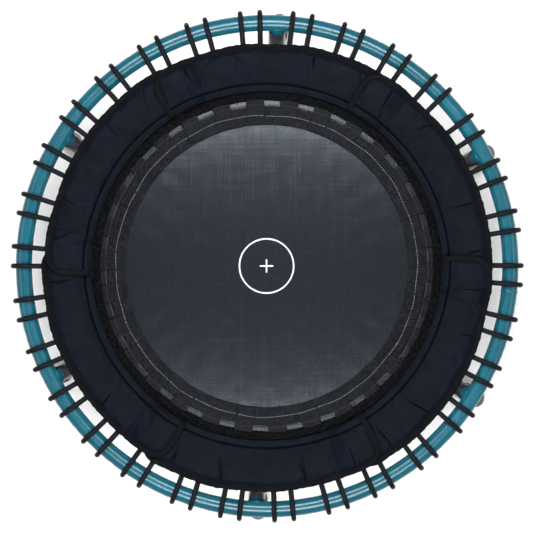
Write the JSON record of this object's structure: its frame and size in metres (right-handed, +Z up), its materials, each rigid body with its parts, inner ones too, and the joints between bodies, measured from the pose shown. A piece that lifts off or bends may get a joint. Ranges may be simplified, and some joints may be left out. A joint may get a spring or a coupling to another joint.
{
  "type": "mini trampoline",
  "caption": "Round fitness trampoline: a tube ring on arched legs holds a woven mat by elastic cords, with overlapping padded skirt sections over the cords.",
  "frame": {"origin": "on the floor, under the middle of the mat", "axes": "+Z up through the middle of the mat; +X and +Y lie in the floor"},
  "size_m": [1.0108, 1.099, 0.3504],
  "materials": {
    "frame_enamel": "gloss enamel, teal",
    "leg_finish": "metallic gloss, dark silver",
    "foot_rubber": "moulded rubber, dark grey",
    "fastener_steel": "zinc plated",
    "cord_braid": "braided sleeve over elastic, black",
    "mat_weave": "woven plastic yarn, black",
    "mat_webbing": "flat webbing, black",
    "mat_edge": "thread binding, grey",
    "clip_plastic": "moulded, black",
    "skirt_fabric": "coated fabric, navy black",
    "skirt_foam": "foam core, off white",
    "skirt_binding": "folded tape, black",
    "strap_elastic": "flat elastic, black"
  },
  "bodies": {
    "frame": {"frame_ring": "frame_enamel", "leg_stub_1": "frame_enamel", "leg_stub_2": "frame_enamel", "leg_stub_3": "frame_enamel", "leg_stub_4": "frame_enamel", "leg_stub_5": "frame_enamel", "leg_stub_6": "frame_enamel", "leg_1": "leg_finish", "leg_2": "leg_finish", "leg_3": "leg_finish", "leg_4": "leg_finish", "leg_5": "leg_finish", "leg_6": "leg_finish", "foot_1": "foot_rubber", "foot_2": "foot_rubber", "foot_3": "foot_rubber", "foot_4": "foot_rubber", "foot_5": "foot_rubber", "foot_6": "foot_rubber", "leg_bolts": "fastener_steel", "leg_washers": "fastener_steel", "leg_nuts": "fastener_steel", "elastic_cords_1": "cord_braid", "elastic_cords_2": "cord_braid", "elastic_cords_3": "cord_braid", "elastic_cords_4": "cord_braid", "elastic_cords_5": "cord_braid", "elastic_cords_6": "cord_braid", "pad_cover_1": "skirt_fabric", "pad_cover_2": "skirt_fabric", "pad_cover_3": "skirt_fabric", "pad_cover_4": "skirt_fabric", "pad_cover_5": "skirt_fabric", "pad_cover_6": "skirt_fabric", "pad_foam_1": "skirt_foam", "pad_foam_2": "skirt_foam", "pad_foam_3": "skirt_foam", "pad_foam_4": "skirt_foam", "pad_foam_5": "skirt_foam", "pad_foam_6": "skirt_foam", "pad_binding_1": "skirt_binding", "pad_binding_2": "skirt_binding", "pad_binding_3": "skirt_binding", "pad_binding_4": "skirt_binding", "pad_binding_5": "skirt_binding", "pad_binding_6": "skirt_binding", "skirt_straps": "strap_elastic"},
    "mat": {"mat_bed": "mat_weave", "mat_border_top": "mat_webbing", "mat_border_back": "mat_webbing", "mat_hoop": "mat_webbing", "mat_rim": "mat_weave", "mat_edge_binding": "mat_edge", "mat_tabs": "mat_webbing", "cord_clips": "clip_plastic"}
  },
  "joints": [
    {"name": "mat_bounce", "type": "slide", "parent": "frame", "child": "mat", "axis": [0, 0, 1], "range_m": [-0.085, 0], "stiffness_N_per_m": 9000, "springref_m": 0.002, "deforming": ["elastic_cords_1", "elastic_cords_2", "elastic_cords_3", "elastic_cords_4", "elastic_cords_5", "elastic_cords_6"]}
  ]
}
